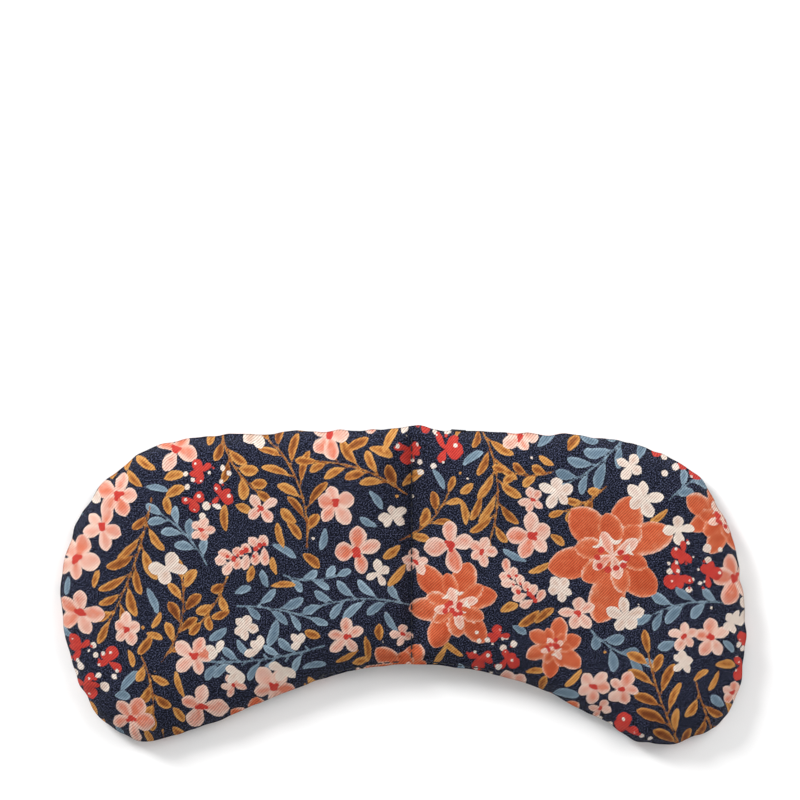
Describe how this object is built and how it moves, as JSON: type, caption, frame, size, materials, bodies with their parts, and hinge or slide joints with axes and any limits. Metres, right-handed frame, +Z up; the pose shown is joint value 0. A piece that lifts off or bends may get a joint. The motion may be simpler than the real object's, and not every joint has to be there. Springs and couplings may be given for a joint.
{
  "type": "eye pillow",
  "caption": "Contoured cotton eye pillow with a nose arch, a seed filling and a stitched centre line about which its lobes fold.",
  "frame": {"origin": "bottom centre of the bounding box, on the surface that the pillow lies on", "axes": "+Z up, from the back panel to the front panel; +X along the pillow, from the wearer's right eye to the left one when the back panel is on the face; +Y towards the forehead edge, with the nose arch facing -Y"},
  "size_m": [0.234, 0.1074, 0.0195],
  "materials": {
    "cover_cloth": "matte",
    "seed_fill": "satin",
    "sewing_thread": "matte"
  },
  "bodies": {
    "left_lobe": {"front_panel_left": "cover_cloth", "back_panel_left": "cover_cloth", "seed_fill_left": "seed_fill", "seam_thread_left": "sewing_thread", "closing_stitches_left": "sewing_thread", "centre_needle_thread": "sewing_thread", "centre_bobbin_thread": "sewing_thread"},
    "right_lobe": {"front_panel_right": "cover_cloth", "back_panel_right": "cover_cloth", "seed_fill_right": "seed_fill", "seam_thread_right": "sewing_thread", "closing_stitches_right": "sewing_thread"}
  },
  "joints": [
    {"name": "centre_fold", "type": "hinge", "parent": "left_lobe", "child": "right_lobe", "pos_m": [0.00297, 0, 0.0068], "axis": [0, -1, 0], "range_deg": [-105, 93]}
  ]
}
